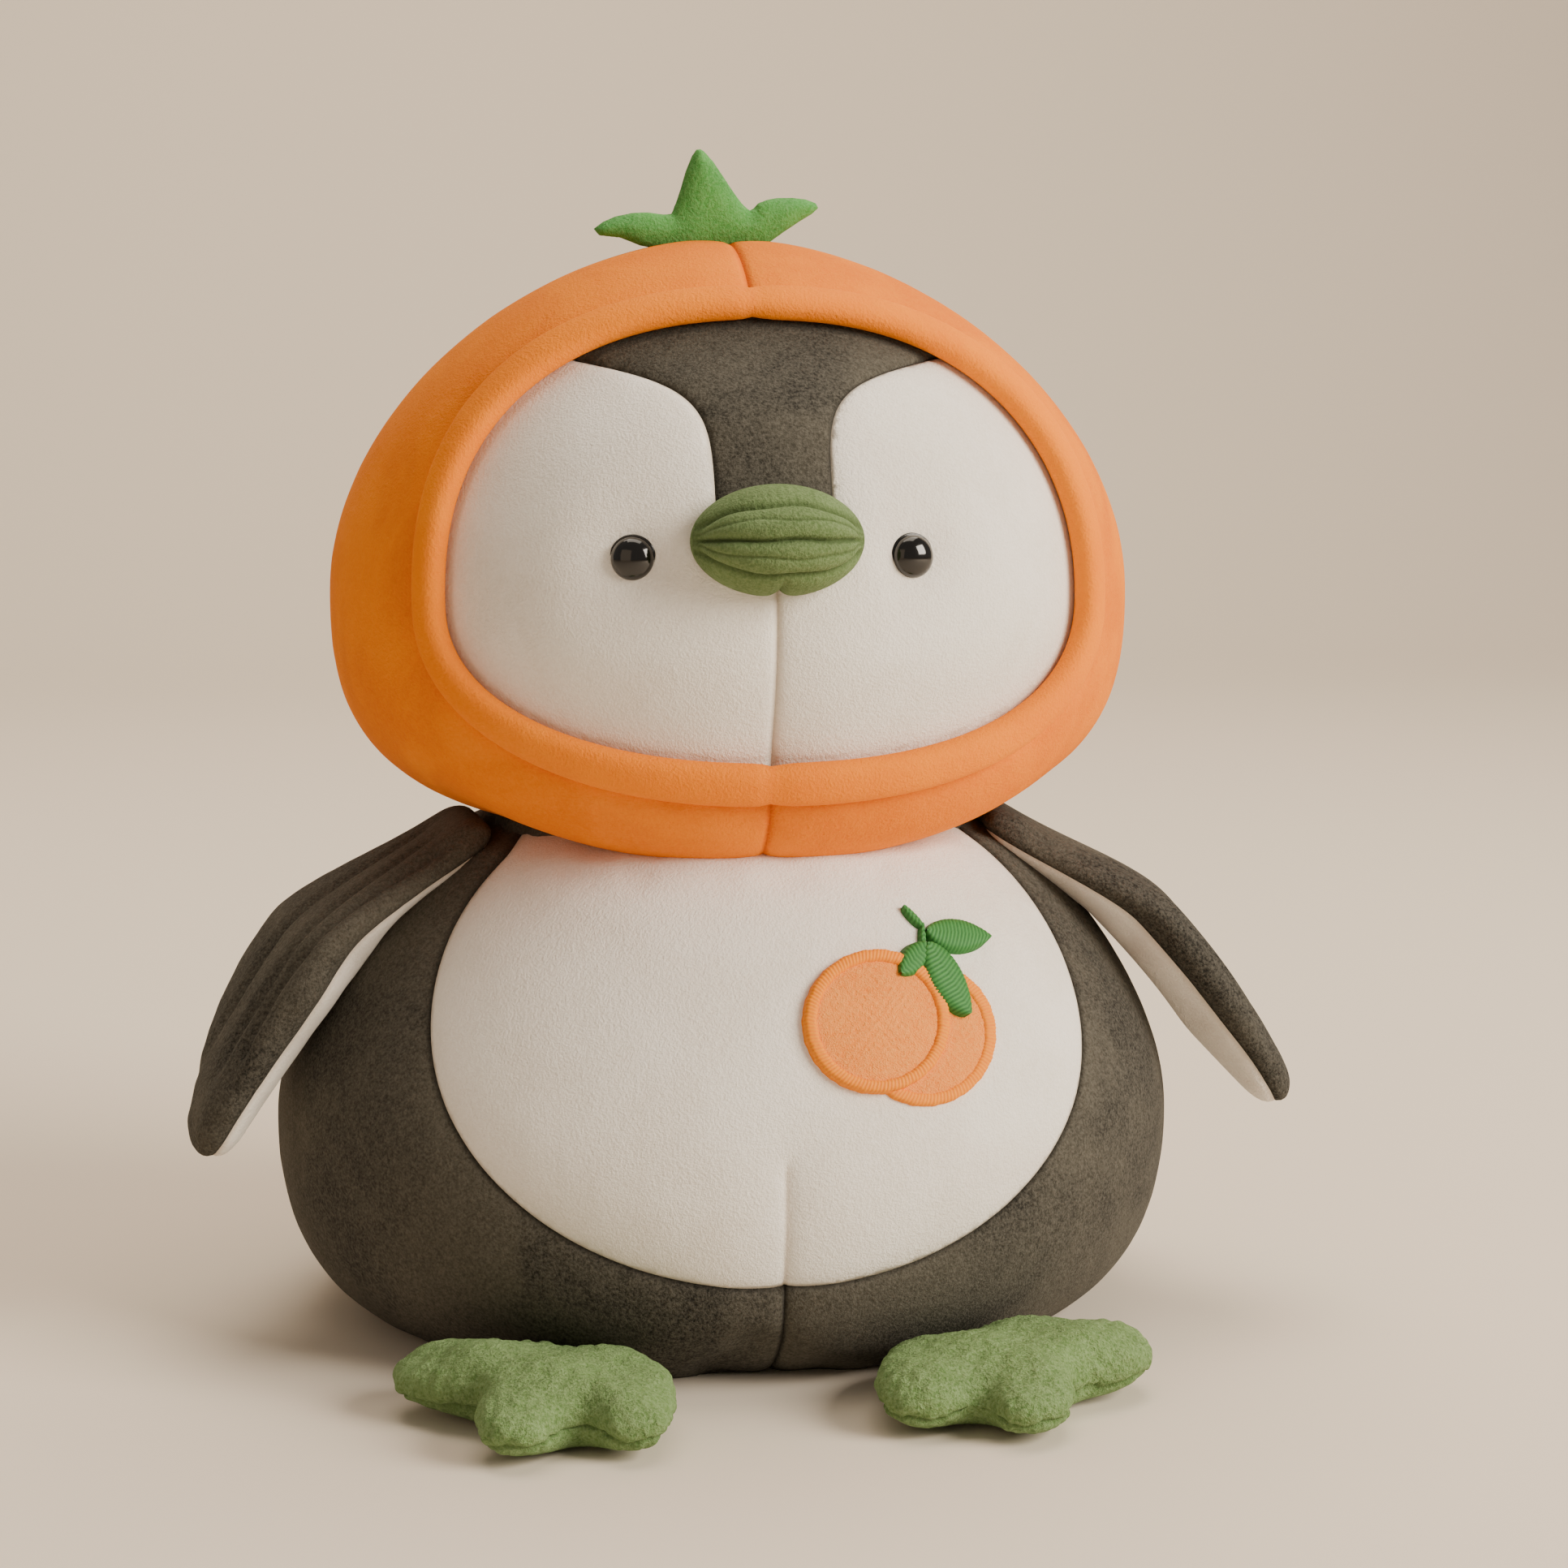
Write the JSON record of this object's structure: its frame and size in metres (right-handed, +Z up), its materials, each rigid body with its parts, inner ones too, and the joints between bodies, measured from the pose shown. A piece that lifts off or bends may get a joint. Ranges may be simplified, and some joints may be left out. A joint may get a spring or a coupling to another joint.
{
  "type": "plush penguin",
  "caption": "Sitting plush penguin in an orange fruit hood with a leaf crown, soft flippers, flat green feet and an embroidered fruit on its belly.",
  "frame": {"origin": "middle of the flat base panel that the toy sits on", "axes": "+Z up, the face looks along -Y, +X to the right of a viewer who looks at the face"},
  "size_m": [0.3456, 0.2878, 0.354],
  "materials": {
    "orange_plush": "matte",
    "rim_plush": "matte",
    "white_plush": "matte",
    "grey_plush": "matte",
    "beak_plush": "matte",
    "foot_fleece": "matte",
    "leaf_plush": "matte",
    "green_thread": "matte",
    "peach_pile": "matte",
    "orange_thread": "satin",
    "polyester_fill": "matte",
    "eye_plastic": "gloss",
    "washer_plastic": "matte"
  },
  "bodies": {
    "body": {"body_stuffing": "polyester_fill", "side_panel_left": "grey_plush", "side_panel_right": "grey_plush", "back_panel_left": "grey_plush", "back_panel_right": "grey_plush", "belly_panel": "white_plush", "base_panel": "grey_plush", "fruit_back": "peach_pile", "fruit_border_back": "orange_thread", "fruit_front": "peach_pile", "fruit_border_front": "orange_thread", "fruit_leaves": "green_thread"},
    "head": {"head_stuffing": "polyester_fill", "hood_panel_left": "orange_plush", "hood_panel_right": "orange_plush", "hood_rim_left": "rim_plush", "hood_rim_right": "rim_plush", "face_panel_left": "white_plush", "face_panel_right": "white_plush", "forehead_panel": "grey_plush", "beak_upper": "beak_plush", "beak_lower": "beak_plush", "beak_stuffing": "polyester_fill", "eye_left": "eye_plastic", "eye_right": "eye_plastic", "eye_washer_left": "washer_plastic", "eye_washer_right": "washer_plastic"},
    "leaf": {"leaf_front": "leaf_plush", "leaf_back": "leaf_plush", "leaf_stuffing": "polyester_fill"},
    "flipper_left": {"flipper_outer_left": "grey_plush", "flipper_inner_left": "white_plush", "flipper_stuffing_left": "polyester_fill"},
    "flipper_right": {"flipper_outer_right": "grey_plush", "flipper_inner_right": "white_plush", "flipper_stuffing_right": "polyester_fill"},
    "foot_left": {"foot_top_left": "foot_fleece", "foot_sole_left": "foot_fleece", "foot_stuffing_left": "polyester_fill"},
    "foot_right": {"foot_top_right": "foot_fleece", "foot_sole_right": "foot_fleece", "foot_stuffing_right": "polyester_fill"}
  },
  "joints": [
    {"name": "head_nod", "type": "hinge", "parent": "body", "child": "head", "pos_m": [0, 0, 0.15], "axis": [1, 0, 0], "range_deg": [-5, 5], "stiffness_Nm_per_rad": 8},
    {"name": "leaf_flop", "type": "hinge", "parent": "head", "child": "leaf", "pos_m": [-0.007, 0, 0.329], "axis": [1, 0, 0], "range_deg": [-25, 25], "stiffness_Nm_per_rad": 0.05},
    {"name": "flipper_swing_left", "type": "hinge", "parent": "body", "child": "flipper_left", "pos_m": [-0.0941, -0.011, 0.153], "axis": [0, 1, 0], "range_deg": [0, 55], "stiffness_Nm_per_rad": 0.4},
    {"name": "flipper_swing_right", "type": "hinge", "parent": "body", "child": "flipper_right", "pos_m": [0.0941, -0.011, 0.153], "axis": [0, -1, 0], "range_deg": [0, 55], "stiffness_Nm_per_rad": 0.4},
    {"name": "foot_flex_left", "type": "hinge", "parent": "body", "child": "foot_left", "pos_m": [-0.062, -0.08, 0], "axis": [-1, 0, 0], "range_deg": [0, 9], "stiffness_Nm_per_rad": 0.4},
    {"name": "foot_flex_right", "type": "hinge", "parent": "body", "child": "foot_right", "pos_m": [0.057, -0.08, 0], "axis": [-1, 0, 0], "range_deg": [0, 9], "stiffness_Nm_per_rad": 0.4}
  ]
}
